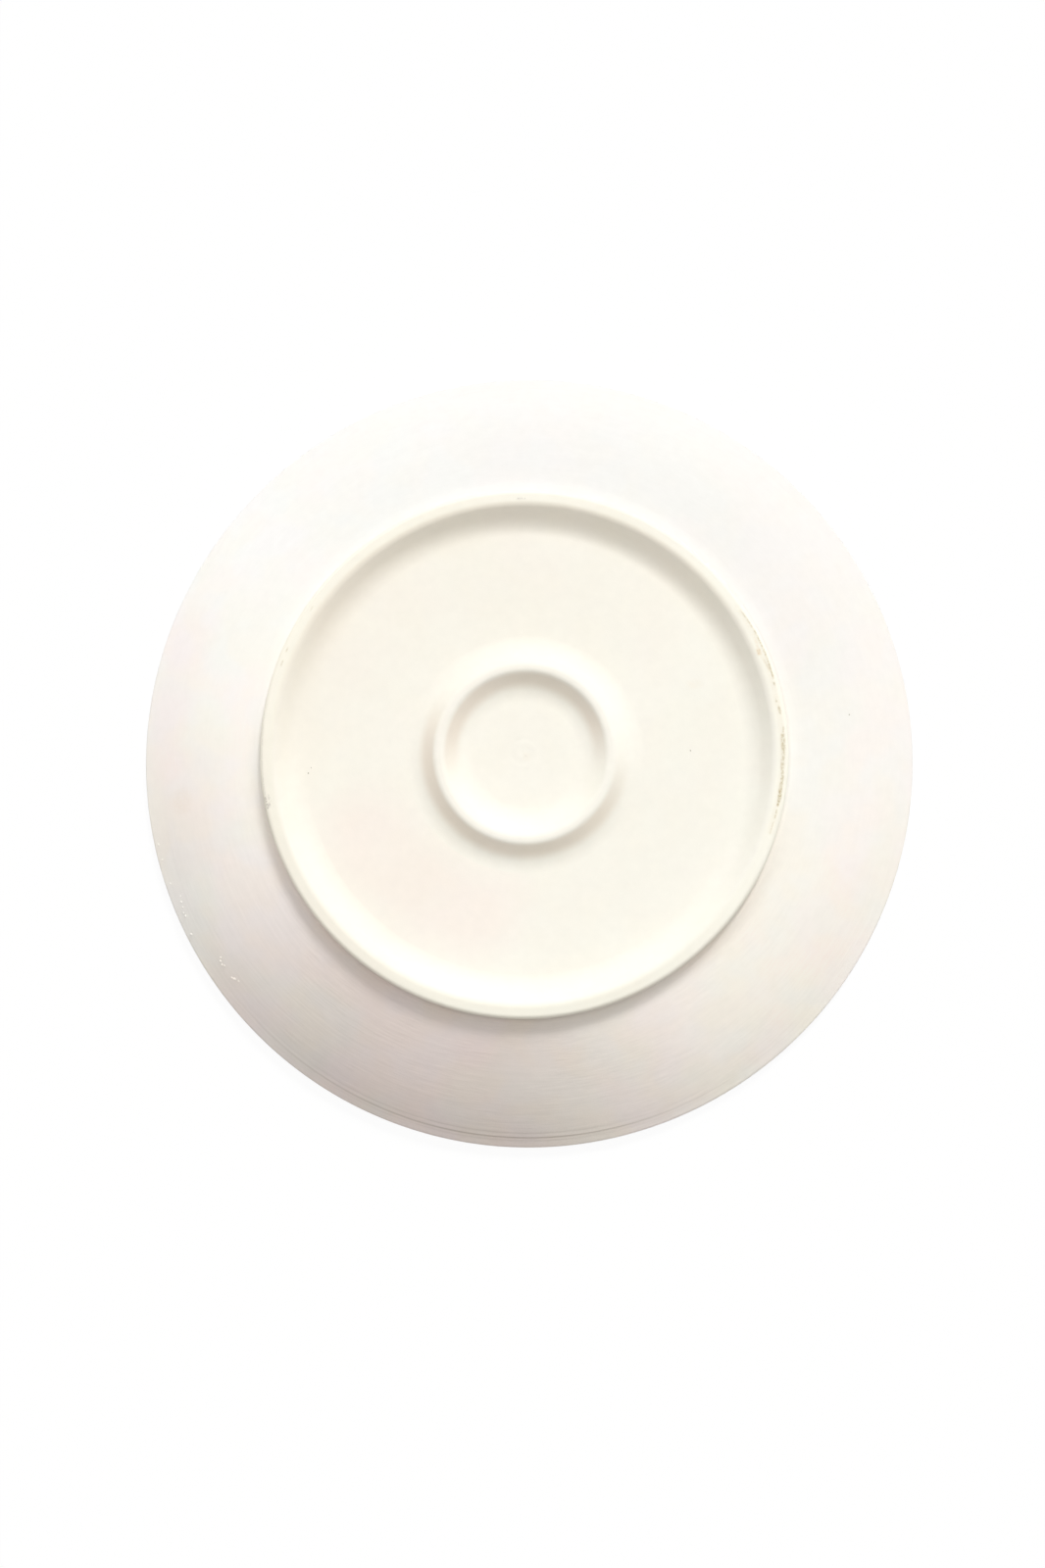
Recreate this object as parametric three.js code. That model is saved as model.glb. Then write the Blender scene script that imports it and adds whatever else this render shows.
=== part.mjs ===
import * as THREE from 'three';

// Bisque plate: a coupe plate with a turned foot ring and a small support ring at its centre.
// Millimetres. The plate lies upside down on its rim, with its underside facing +Z.
// +Z is the axis that it was turned about, and the origin is the centre of the rim, at z = 0.
// Every piece is a section in radius r and height z, revolved about that axis.

// Whole plate
const rimDiameter = 305;
const plateHeight = 29;
const turnSteps = 72;

// Wall of the body
const floorThickness = 5.5;
const lipThickness = 4.4;
const lipEdgeRound = 1.9;
const lipLandWidth = 1.7;
const lipSlope = THREE.MathUtils.degToRad(32);
const wallTopSlope = THREE.MathUtils.degToRad(12.5);
const wellFloorDiameter = 184;
const wellSlope = THREE.MathUtils.degToRad(28);

// Groove that the rib leaves behind the lip
const grooveInset = 4.2;
const grooveWidth = 1.4;
const grooveDepth = 0.15;

// Flare that carries the outside of the wall up to the foot ring
const flareRadius = 20;
const flareSlope = THREE.MathUtils.degToRad(30);

// Foot ring
const footDiameter = 202.5;
const footDepth = 6.2;
const footWallHeight = 3.8;
const footCrestWidth = 2.1;
const footOuterRound = 1.9;
const footInnerRound = 4.0;
const footFlankSlope = THREE.MathUtils.degToRad(42);
const footHollowRadius = 11.0;

// Support ring at the centre
const centreRingDiameter = 66.1;
const centreRingHeight = 5.2;
const centreCrownWidth = 0.7;
const centreCrownRound = 2.8;
const centreFlankSlope = THREE.MathUtils.degToRad(36);
const centreHollowRadius = 14.0;
const centreBedHeight = 1.5;

// Turning mark on the axis
const turningMarkDiameter = 6.0;
const turningMarkDepth = 0.35;

// Facets along each kind of curve
const wallSteps = 10;
const flareSteps = 3;
const hollowSteps = 5;
const edgeSteps = 3;

// Levels and radii that follow from the sizes above
const rimRadius = rimDiameter / 2;
const footRadius = footDiameter / 2;
const undersideLevel = plateHeight - footDepth;
const shoulderLevel = plateHeight - footWallHeight;
const wellLevel = undersideLevel - floorThickness;
const centreCrestLevel = undersideLevel + centreRingHeight;
const quarterTurn = Math.PI / 2;

function point(r, z) {
  return new THREE.Vector2(r, z);
}

// A circular arc in the section, with angles measured from +r towards +z.
function arc(centre, radius, startAngle, endAngle, steps) {
  const clockwise = endAngle < startAngle;
  const curve = new THREE.EllipseCurve(centre.x, centre.y, radius, radius, startAngle, endAngle, clockwise);
  return curve.getPoints(steps);
}

// The corner where a straight line that climbs inwards from the low end meets one that falls outwards
// from the high end.
function cornerBetween(lowEnd, lowSlope, highEnd, highSlope) {
  const run = lowEnd.x - highEnd.x;
  const rise = highEnd.y - lowEnd.y;
  const fromLow = (rise - run * Math.tan(highSlope)) / (Math.tan(lowSlope) - Math.tan(highSlope));
  return point(lowEnd.x - fromLow, lowEnd.y + fromLow * Math.tan(lowSlope));
}

// Joins points and runs of points into one outline and drops a point that repeats the one before it.
function outline(...runs) {
  const points = runs.flat();
  return points.filter((p, i) => i === 0 || p.distanceTo(points[i - 1]) > 1e-6);
}

// A flank falls from a rounded crest edge down a straight face into a hollow that ends level with the floor.
// Its reach sideways follows from the height that the three of them share.
function flankReach(height, slope, crestRound, hollowRadius) {
  const bends = crestRound + hollowRadius;
  const faceHeight = height - bends * (1 - Math.cos(slope));
  return bends * Math.sin(slope) + faceHeight / Math.tan(slope);
}

// The slope that a hollow has reached at a given height above the floor it rises from.
function slopeAtHeight(height, hollowRadius) {
  return Math.acos(1 - height / hollowRadius);
}

const footBedSlope = slopeAtHeight(footDepth - footWallHeight, footHollowRadius);
const footCrestInner = footRadius - footOuterRound - footCrestWidth;
const footReach = flankReach(footDepth, footFlankSlope, footInnerRound, footHollowRadius);
const footHollowCentre = point(footCrestInner - footReach, undersideLevel + footHollowRadius);

const centreBedSlope = slopeAtHeight(centreBedHeight, centreHollowRadius);
const crownOuter = (centreRingDiameter + centreCrownWidth) / 2;
const crownInner = (centreRingDiameter - centreCrownWidth) / 2;
const centreReach = flankReach(centreRingHeight, centreFlankSlope, centreCrownRound, centreHollowRadius);
const centreOuterHollow = point(crownOuter + centreReach, undersideLevel + centreHollowRadius);
const centreInnerHollow = point(crownInner - centreReach, undersideLevel + centreHollowRadius);

// Hollow inside the foot ring between two slopes, facing the axis.
function footHollow(fromSlope, toSlope) {
  return arc(footHollowCentre, footHollowRadius, fromSlope - quarterTurn, toSlope - quarterTurn, hollowSteps);
}

// Hollows outside and inside the centre ring.
function hollowOutsideCentre(fromSlope, toSlope) {
  const start = -quarterTurn - fromSlope;
  const end = -quarterTurn - toSlope;
  return arc(centreOuterHollow, centreHollowRadius, start, end, hollowSteps);
}

function hollowInsideCentre(fromSlope, toSlope) {
  const start = fromSlope - quarterTurn;
  const end = toSlope - quarterTurn;
  return arc(centreInnerHollow, centreHollowRadius, start, end, hollowSteps);
}

// The rounded lip edge runs into the underside, which climbs inwards at the lip's own slope.
const lipEdgeEnd = point(
  rimRadius - lipEdgeRound * (1 - Math.sin(lipSlope)),
  lipThickness - lipEdgeRound * (1 - Math.cos(lipSlope)),
);

function behindLip(inset) {
  const r = rimRadius - inset;
  return point(r, lipEdgeEnd.y + (lipEdgeEnd.x - r) * Math.tan(lipSlope));
}

// Eating side: a flat floor that sweeps out and down to the land that the rim rests on.
function wellOutline() {
  const floorEdge = point(wellFloorDiameter / 2, wellLevel);
  const lipInner = point(rimRadius - lipEdgeRound - lipLandWidth, 0);
  const handle = point(lipInner.x - wellLevel / Math.tan(wellSlope), wellLevel);
  const sweep = new THREE.QuadraticBezierCurve(floorEdge, handle, lipInner);
  return outline(point(0, wellLevel), sweep.getPoints(wallSteps));
}

// Lip: rounded edge and the groove behind it.
function lipOutline() {
  const edgeRadius = rimRadius - lipEdgeRound;
  const upperCentre = point(edgeRadius, lipThickness - lipEdgeRound);
  const grooveBottom = behindLip(grooveInset);
  grooveBottom.y -= grooveDepth;
  return outline(
    arc(point(edgeRadius, lipEdgeRound), lipEdgeRound, -quarterTurn, 0, edgeSteps),
    arc(upperCentre, lipEdgeRound, 0, quarterTurn - lipSlope, edgeSteps),
    behindLip(grooveInset - grooveWidth / 2),
    grooveBottom,
    behindLip(grooveInset + grooveWidth / 2),
  );
}

// Outside of the wall: a bulged stretch from the groove, then the flare up to the foot ring's outer face.
function wallOutline() {
  const flareCentre = point(
    footRadius + flareRadius * Math.sin(flareSlope),
    shoulderLevel + flareRadius * Math.cos(flareSlope),
  );
  const flareStart = -quarterTurn - wallTopSlope;
  const flareEnd = -quarterTurn - flareSlope;
  const flare = arc(flareCentre, flareRadius, flareStart, flareEnd, flareSteps);
  const wallStart = behindLip(grooveInset + grooveWidth / 2);
  const handle = cornerBetween(wallStart, lipSlope, flare[0], wallTopSlope);
  const wall = new THREE.QuadraticBezierCurve(wallStart, handle, flare[0]);
  return outline(wall.getPoints(wallSteps), flare);
}

// Underside from the foot ring's bed to the axis, with the centre ring's bed on the way.
function undersideOutline() {
  return outline(
    footHollow(footBedSlope, 0),
    hollowOutsideCentre(0, centreBedSlope),
    hollowInsideCentre(centreBedSlope, 0),
    point(turningMarkDiameter / 2, undersideLevel),
    point(0, undersideLevel - turningMarkDepth),
  );
}

function plateBodyOutline() {
  return outline(wellOutline(), lipOutline(), wallOutline(), undersideOutline());
}

// Foot ring: upright outer wall, rounded shoulders and the flat crest that the plate stands on in use.
function footRingOutline() {
  const outerCentre = point(footRadius - footOuterRound, plateHeight - footOuterRound);
  const innerCentre = point(footCrestInner, plateHeight - footInnerRound);
  const hollow = footHollow(footFlankSlope, footBedSlope);
  return outline(
    hollow[hollow.length - 1].clone(),
    point(footRadius, shoulderLevel),
    arc(outerCentre, footOuterRound, 0, quarterTurn, edgeSteps),
    arc(innerCentre, footInnerRound, quarterTurn, quarterTurn + footFlankSlope, edgeSteps),
    hollow,
  );
}

// Centre ring: a narrow crown with rounded edges that runs down into a hollow on each side.
function centreRingOutline() {
  const roundLevel = centreCrestLevel - centreCrownRound;
  const outerHollow = hollowOutsideCentre(centreBedSlope, centreFlankSlope);
  const innerHollow = hollowInsideCentre(centreFlankSlope, centreBedSlope);
  const outerStart = quarterTurn - centreFlankSlope;
  const innerEnd = quarterTurn + centreFlankSlope;
  return outline(
    innerHollow[innerHollow.length - 1].clone(),
    outerHollow,
    arc(point(crownOuter, roundLevel), centreCrownRound, outerStart, quarterTurn, edgeSteps),
    arc(point(crownInner, roundLevel), centreCrownRound, quarterTurn, innerEnd, edgeSteps),
    innerHollow,
  );
}

// Revolves a section about +Z.
function turned(name, points, material) {
  const geometry = new THREE.LatheGeometry(points, turnSteps);
  geometry.rotateX(quarterTurn);
  const mesh = new THREE.Mesh(geometry, material);
  mesh.name = name;
  return mesh;
}

// Unglazed white earthenware, a little creamier where the foot area was sponged.
function bisque(colour) {
  return new THREE.MeshStandardMaterial({ color: colour, roughness: 0.92, metalness: 0 });
}

const plate = new THREE.Group();
plate.name = 'bisque_plate';
plate.add(
  turned('plate_body', plateBodyOutline(), bisque(0xf5f0eb)),
  turned('foot_ring', footRingOutline(), bisque(0xf5efe1)),
  turned('centre_ring', centreRingOutline(), bisque(0xf5efe1)),
);

export default plate;
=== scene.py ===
# %% [markdown]
# # A bisque plate, turned upside down
# The object is a large plate that has been fired once and not glazed. It lies on its rim, so what
# shows is the underside: a sloping wall with toolmarks, a wide foot ring and a small ring that
# supports the middle. Everything on it was turned on a wheel, so this lesson is about one idea,
# a section that is carried round an axis, and about making plain white clay worth looking at.
#
# The construction model is loaded first. It fixes every main size, and this file dresses it.

import math
from types import SimpleNamespace

import bpy
import numpy as np
from mathutils import Matrix, Vector


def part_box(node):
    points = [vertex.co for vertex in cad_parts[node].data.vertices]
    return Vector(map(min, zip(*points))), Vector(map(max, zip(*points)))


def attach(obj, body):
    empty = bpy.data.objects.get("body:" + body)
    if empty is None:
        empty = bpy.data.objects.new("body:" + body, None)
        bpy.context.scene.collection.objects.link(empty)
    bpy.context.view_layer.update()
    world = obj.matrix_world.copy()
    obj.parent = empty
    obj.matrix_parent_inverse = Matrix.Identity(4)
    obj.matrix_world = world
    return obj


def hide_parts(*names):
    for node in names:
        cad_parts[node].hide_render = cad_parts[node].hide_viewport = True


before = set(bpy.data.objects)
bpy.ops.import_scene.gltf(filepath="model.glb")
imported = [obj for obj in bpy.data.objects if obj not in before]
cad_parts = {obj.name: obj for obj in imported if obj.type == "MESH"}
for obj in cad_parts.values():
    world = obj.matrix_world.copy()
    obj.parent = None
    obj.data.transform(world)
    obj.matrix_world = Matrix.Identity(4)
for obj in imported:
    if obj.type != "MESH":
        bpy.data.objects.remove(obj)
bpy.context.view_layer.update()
MM = 0.001

# %% [markdown]
# ## Sizes
# The three pieces of the construction model give the radii and levels that everything hangs on.
# The other sizes are what a potter would measure on the plate: wall, lip, rounds and fillets. The
# foot ring also sits a little off the plate's axis, as rings trimmed in a second setting do. The
# sizes could be typed into each shape where they are used, but a size with a name can be changed
# once, and the section, the marks and the finish all follow.

# %% Sizes from the construction model and sizes of the surface
rim_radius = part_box("plate_body")[1].x
shoulder_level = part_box("plate_body")[1].z
foot_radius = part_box("foot_ring")[1].x
foot_crest_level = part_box("foot_ring")[1].z
centre_crest_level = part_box("centre_ring")[1].z

foot_depth = 6.2 * MM
floor_thickness = 5.5 * MM
lip_thickness = 4.4 * MM
lip_edge_round = 1.9 * MM
lip_land_width = 1.7 * MM
lip_slope = math.radians(32)
wall_top_slope = math.radians(12.5)
flare_slope = math.radians(30)
flare_radius = 20 * MM
well_floor_radius = 92 * MM
well_slope = math.radians(28)
foot_off_centre = (-0.72 * MM, 0.25 * MM, 0)

underside_level = foot_crest_level - foot_depth
well_level = underside_level - floor_thickness
print("rim radius", round(rim_radius / MM, 1), "mm, underside at", round(underside_level / MM, 1), "mm")

# %% [markdown]
# ## The camera
# The photograph looks almost straight down. The rings stand higher than the rim, so they seem to
# slide up and to the left, and that slide tells how far the camera leans. A lens shift could frame
# the plate too, but the camera is aimed by turning it, so that every other view of the object
# stays centred.

# %% Camera at the photograph's viewing angle
camera_distance = 650 * MM
camera_lean = Vector((0.0294, -0.066, 1)).normalized()
camera_target = Vector((-1.75, -10.15, 0)) * MM
lens_mm = 37.45
long_side_mm = 36


def make_camera():
    """Looks at the target with +Y up in the picture."""
    data = bpy.data.cameras.new("plate_camera")
    data.sensor_width = long_side_mm
    data.lens = lens_mm
    camera = bpy.data.objects.new("plate_camera", data)
    bpy.context.scene.collection.objects.link(camera)
    camera.location = camera_target + camera_lean * camera_distance
    right = Vector((0, 1, 0)).cross(camera_lean).normalized()
    turned_to = Matrix((right, camera_lean.cross(right), camera_lean)).transposed()
    camera.rotation_euler = turned_to.to_euler()
    bpy.context.scene.camera = camera


make_camera()
lean_degrees = math.degrees(camera_lean.angle(Vector((0, 0, 1))))
print("lens", lens_mm, "mm, leaning", round(lean_degrees, 1), "degrees from straight down")

# %% [markdown]
# ## Lamps
# White clay shows its shape only by shade, so the light does half of the work. One large soft lamp
# high at the top right rakes across the rings, a weaker one overhead fills, and two weak ones near
# the floor stand for white cards at the sides. Area lamps could do the same, but a sun lights every
# part of a wide plate alike. The lamps stay low enough that the side turned to them doesn't burn out.

# %% Four soft lamps
white_diffuse = math.pi


def sun(name, clock_degrees, height_degrees, strength, spread_degrees, colour=(1.0, 1.0, 1.0)):
    """A distant lamp. Its clock angle runs from the top of the picture towards the right."""
    data = bpy.data.lights.new(name, "SUN")
    data.energy = strength * white_diffuse
    data.angle = math.radians(spread_degrees)
    data.color = colour
    lamp = bpy.data.objects.new(name, data)
    bpy.context.scene.collection.objects.link(lamp)
    clock, height = math.radians(clock_degrees), math.radians(height_degrees)
    sideways = math.cos(height)
    towards_lamp = Vector((math.sin(clock) * sideways, math.cos(clock) * sideways, math.sin(height)))
    lamp.rotation_euler = towards_lamp.to_track_quat("Z", "Y").to_euler()


sun("raking_lamp", clock_degrees=20, height_degrees=35, strength=0.58, spread_degrees=14)
sun("overhead_lamp", clock_degrees=0, height_degrees=88, strength=0.40, spread_degrees=60,
    colour=(1.0, 0.995, 0.98))
sun("left_card", clock_degrees=-80, height_degrees=16, strength=0.18, spread_degrees=50)
sun("right_card", clock_degrees=100, height_degrees=16, strength=0.13, spread_degrees=50)

# %% [markdown]
# ## Sky and floor
# The sky gives a little light from all round, and the floor is the white table top. Both look white
# to the camera by a share of white that the Light Path node gives to its rays, so they throw no extra
# light on the plate, and the floor still takes its shadow. A strong white sky would be simpler, but
# it would flatten the clay. Two small helpers that add nodes come first, and later trees use them.

# %% Helpers that add nodes, and the sky
def put(tree, kind, feeds=None, **settings):
    """Adds a node, sets its options, and links or fills its inputs."""
    made = tree.nodes.new(kind)
    for option, value in settings.items():
        setattr(made, option, value)
    for socket, source in (feeds or {}).items():
        if isinstance(source, bpy.types.NodeSocket):
            tree.links.new(source, made.inputs[socket])
        else:
            made.inputs[socket].default_value = source
    return made


def maths(tree, operation, first, second=0.0):
    return put(tree, "ShaderNodeMath", {0: first, 1: second}, operation=operation).outputs[0]


def make_sky(light, shown):
    """Lights the plate with one strength and shows the camera and its reflections another."""
    world = bpy.data.worlds.new("studio_sky")
    world.use_nodes = True
    tree = world.node_tree
    tree.nodes.clear()
    rays = put(tree, "ShaderNodeLightPath").outputs
    seen = maths(tree, "MAXIMUM", rays["Is Camera Ray"], rays["Is Glossy Ray"])
    seen = maths(tree, "MAXIMUM", seen, rays["Is Transmission Ray"])
    lighting = put(tree, "ShaderNodeBackground", {"Color": (1, 0.985, 0.96, 1), "Strength": light})
    backdrop = put(tree, "ShaderNodeBackground", {"Color": (1, 1, 1, 1), "Strength": shown})
    choose = put(tree, "ShaderNodeMixShader", {0: seen, 1: lighting.outputs[0], 2: backdrop.outputs[0]})
    put(tree, "ShaderNodeOutputWorld", {"Surface": choose.outputs[0]})
    bpy.context.scene.world = world


make_sky(light=0.18, shown=1.0)
print("sky:", bpy.context.scene.world.name)


# %% Floor
def grey(level):
    return level, level, level, 1


def make_floor(half_width, paper, glow):
    """A white sheet that the camera sees as its own glow and every other ray sees as paper."""
    mesh = bpy.data.meshes.new("studio_floor")
    corners = [(-half_width, -half_width, 0), (half_width, -half_width, 0),
               (half_width, half_width, 0), (-half_width, half_width, 0)]
    mesh.from_pydata(corners, [], [(0, 1, 2, 3)])
    material = bpy.data.materials.new("studio_floor")
    material.use_nodes = True
    tree = material.node_tree
    tree.nodes.clear()
    rays = put(tree, "ShaderNodeLightPath").outputs
    sheet = put(tree, "ShaderNodeBsdfDiffuse", {"Color": grey(paper)})
    shaded = put(tree, "ShaderNodeBsdfDiffuse", {"Color": grey(1 - glow)})
    light = put(tree, "ShaderNodeEmission", {"Color": (1, 1, 1, 1), "Strength": glow})
    as_seen = put(tree, "ShaderNodeAddShader", {0: shaded.outputs[0], 1: light.outputs[0]})
    choose = put(tree, "ShaderNodeMixShader", {0: rays["Is Camera Ray"], 1: sheet.outputs[0],
                                               2: as_seen.outputs[0]})
    put(tree, "ShaderNodeOutputMaterial", {"Surface": choose.outputs[0]})
    mesh.materials.append(material)
    floor = bpy.data.objects.new("studio_floor", mesh)
    bpy.context.scene.collection.objects.link(floor)


make_floor(half_width=3.0, paper=0.8, glow=0.90)
bpy.context.scene.view_settings.view_transform = "Standard"
print("view transform:", bpy.context.scene.view_settings.view_transform)

# %% [markdown]
# ## Drawing a section
# A potter checks a plate by its section, the outline of a slice from the axis to the rim. Here a
# section is a chain of short stretches: straight lines, arcs and gentle sweeps, each with its own
# spacing of points. A Bezier curve object could hold it as well, but a list of stretches lets each
# one carry how strongly the tools marked it, and puts points only where the eye needs them.

# %% Stretches of a section
def steps_for(length, spacing):
    return max(2, math.ceil(length / spacing) + 1)


def shares_along(start, end, spacing):
    return np.linspace(0, 1, steps_for(math.dist(start, end), spacing))[:, None]


def straight(start, end, spacing):
    share = shares_along(start, end, spacing)
    return np.array(start) * (1 - share) + np.array(end) * share


def arc(centre, radius, start_angle, end_angle, spacing):
    steps = steps_for(radius * abs(end_angle - start_angle), spacing)
    angles = np.linspace(start_angle, end_angle, steps)
    return np.column_stack([centre[0] + radius * np.cos(angles), centre[1] + radius * np.sin(angles)])


def sweep(start, handle, end, spacing):
    share = shares_along(start, end, spacing)
    from_start = np.array(start) * (1 - share) ** 2
    return from_start + np.array(handle) * 2 * share * (1 - share) + np.array(end) * share ** 2


trial_line = straight((0, 0), (10 * MM, 0), spacing=3 * MM)
print("a 10 mm line with a point every 3 mm at most has", len(trial_line), "points")

# %% [markdown]
# ## A section as a chain of edges
# The stretches are joined into one mesh of edges in the XZ plane. Four numbers ride on each point:
# how strongly the tools ridged it, whether the finger's swirl reaches it, how deep a groove is cut
# there, and whether it lies on the underside, past the last point that rests on the floor. The
# numbers could be looked up from the radius later, but both sides of a plate share each radius.

# %% Join the stretches
section_labels = ("ridges", "swirl", "groove", "underside")
same_point = 0.01 * MM


def no_grooves(radius):
    return np.zeros(len(radius))


def make_section(name, stretches, groove_at=no_grooves):
    """Joins (points, ridges, swirl) stretches; grooves are cut only where the ridges are full."""
    points = np.vstack([stretch[0] for stretch in stretches])
    ridges = np.concatenate([np.full(len(stretch[0]), stretch[1]) for stretch in stretches])
    swirl = np.concatenate([np.full(len(stretch[0]), stretch[2]) for stretch in stretches])
    apart = np.append(True, np.linalg.norm(np.diff(points, axis=0), axis=1) > same_point)
    points, ridges, swirl = points[apart], ridges[apart], swirl[apart]
    groove = groove_at(points[:, 0]) * (ridges == 1)
    on_floor = np.flatnonzero(points[:, 1] < same_point)
    underside = np.arange(len(points)) > (on_floor[-1] if len(on_floor) else -1)
    mesh = bpy.data.meshes.new(name)
    chain = [(i, i + 1) for i in range(len(points) - 1)]
    mesh.from_pydata([(r, 0, z) for r, z in points], chain, [])
    for label, values in zip(section_labels, (ridges, swirl, groove, underside)):
        mesh.attributes.new(label, "FLOAT", "POINT").data.foreach_set("value", values)
    section = bpy.data.objects.new(name, mesh)
    bpy.context.scene.collection.objects.link(section)
    print(name, "has", len(points), "points")
    return section


# %% [markdown]
# ## Words for Geometry Nodes
# The wheel that follows is a tree of nearly ninety nodes, and written one by one they hide what it
# does. So the steps that come back get short names: begin and end a tree, look a value up on the
# section, store one on the clay, and find the radius and angle of a point. Node groups could do
# this inside Blender too, but a Python helper can be read beside the step that uses it.

# %% Helpers for the trees
def begin_tree(name, inputs):
    tree = bpy.data.node_groups.new(name, "GeometryNodeTree")
    tree.interface.new_socket("Geometry", in_out="OUTPUT", socket_type="NodeSocketGeometry")
    tree.interface.new_socket("Geometry", in_out="INPUT", socket_type="NodeSocketGeometry")
    for label, kind in inputs.items():
        tree.interface.new_socket(label, in_out="INPUT", socket_type="NodeSocket" + kind)
    return tree, put(tree, "NodeGroupInput").outputs


def end_tree(tree, geometry, material):
    real = put(tree, "GeometryNodeRealizeInstances", {"Geometry": geometry})
    smooth = put(tree, "GeometryNodeSetShadeSmooth", {"Geometry": real.outputs[0]})
    clad = put(tree, "GeometryNodeSetMaterial", {"Geometry": smooth.outputs[0], "Material": material})
    put(tree, "NodeGroupOutput", {0: clad.outputs[0]})


def product(tree, first, *others):
    for other in others:
        first = maths(tree, "MULTIPLY", first, other)
    return first


def whole(tree, operation, first, second):
    return put(tree, "FunctionNodeIntegerMath", {0: first, 1: second}, operation=operation).outputs[0]


def scaled(tree, vector, factor):
    return put(tree, "ShaderNodeVectorMath", {0: vector, "Scale": factor}, operation="SCALE").outputs[0]


def level_part(tree, position):
    """X and Y of a position, without its height."""
    parts = put(tree, "ShaderNodeSeparateXYZ", {0: position}).outputs
    return put(tree, "ShaderNodeCombineXYZ", {"X": parts["X"], "Y": parts["Y"]}).outputs[0]


def length_of(tree, vector):
    return put(tree, "ShaderNodeVectorMath", {0: vector}, operation="LENGTH").outputs["Value"]


# %% Helpers that read and store values on the clay
def look_up(tree, section, row, value, kind):
    feeds = {"Geometry": section, "Value": value, "Index": row}
    return put(tree, "GeometryNodeSampleIndex", feeds, data_type=kind, domain="POINT").outputs[0]


def named_value(tree, name):
    return put(tree, "GeometryNodeInputNamedAttribute", {"Name": name}, data_type="FLOAT").outputs[0]


def store(tree, clay, label, value, **kind):
    feeds = {"Geometry": clay, "Name": label, "Value": value}
    return put(tree, "GeometryNodeStoreNamedAttribute", feeds, **kind).outputs[0]


def shift(tree, clay, offset):
    return put(tree, "GeometryNodeSetPosition", {"Geometry": clay, "Offset": offset}).outputs[0]


def round_the_axis(tree):
    """Radius and angle of each point, from its position."""
    position = put(tree, "GeometryNodeInputPosition").outputs[0]
    parts = put(tree, "ShaderNodeSeparateXYZ", {0: position}).outputs
    angle = maths(tree, "ARCTAN2", parts["Y"], parts["X"])
    return length_of(tree, level_part(tree, position)), angle


# %% [markdown]
# ## The wheel, as a Geometry Nodes tree
# A wheel carries the section round the axis, and the tree does the same. It starts from a flat grid
# with one row for each point of the section, looks up that point, and turns it by the column's
# share of a full turn. The grid's faces are flipped, because they would point inwards once it is
# wrapped, and merging closes the seam and the poles. A Screw modifier would also revolve the
# section, but it couldn't read the ridges of each stretch or make the marks.

# %% Carry the section round
merge_distance = 0.001 * MM


def wrap_round(tree, section, steps_round):
    count = put(tree, "GeometryNodeAttributeDomainSize", {"Geometry": section}).outputs["Point Count"]
    columns = whole(tree, "ADD", steps_round, 1)
    grid = put(tree, "GeometryNodeMeshGrid", {"Vertices X": count, "Vertices Y": columns}).outputs
    index = put(tree, "GeometryNodeInputIndex").outputs[0]
    row = whole(tree, "DIVIDE_FLOOR", index, columns)
    column = whole(tree, "FLOORED_MODULO", index, columns)

    position = put(tree, "GeometryNodeInputPosition").outputs[0]
    on_section = look_up(tree, section, row, position, "FLOAT_VECTOR")
    parts = put(tree, "ShaderNodeSeparateXYZ", {0: on_section}).outputs
    turn = product(tree, maths(tree, "DIVIDE", column, steps_round), math.tau)
    x = product(tree, parts["X"], maths(tree, "COSINE", turn))
    y = product(tree, parts["X"], maths(tree, "SINE", turn))
    place = put(tree, "ShaderNodeCombineXYZ", {"X": x, "Y": y, "Z": parts["Z"]}).outputs[0]

    clay = put(tree, "GeometryNodeFlipFaces", {"Mesh": grid["Mesh"]}).outputs[0]
    for label in section_labels:
        value = look_up(tree, section, row, named_value(tree, label), "FLOAT")
        clay = store(tree, clay, label, value, data_type="FLOAT")
    clay = store(tree, clay, "UVMap", grid["UV Map"], data_type="FLOAT2", domain="CORNER")
    clay = put(tree, "GeometryNodeSetPosition", {"Geometry": clay, "Position": place}).outputs[0]
    feeds = {"Geometry": clay, "Distance": merge_distance}
    return put(tree, "GeometryNodeMergeByDistance", feeds).outputs[0]


# %% [markdown]
# ## What the tools leave
# Each point moves along its normal by a noise that changes fast outwards and slowly round, which is
# what makes a toolmark a long arc and not a speckle. A spiral stays where a finger left the middle,
# and the rib's grooves behind the lip are deepest on the side where it pressed. At the end the
# plate is made a little out of round, and the clay slides with the foot ring, which sits off the
# axis: by nothing at the rim, and by the whole amount from that ring inwards. A bump map could fake
# the ridges, but in a low view they have to take real shade, so they are moved in the mesh.

# %% Toolmarks
press_sharpness = 8.0


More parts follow.
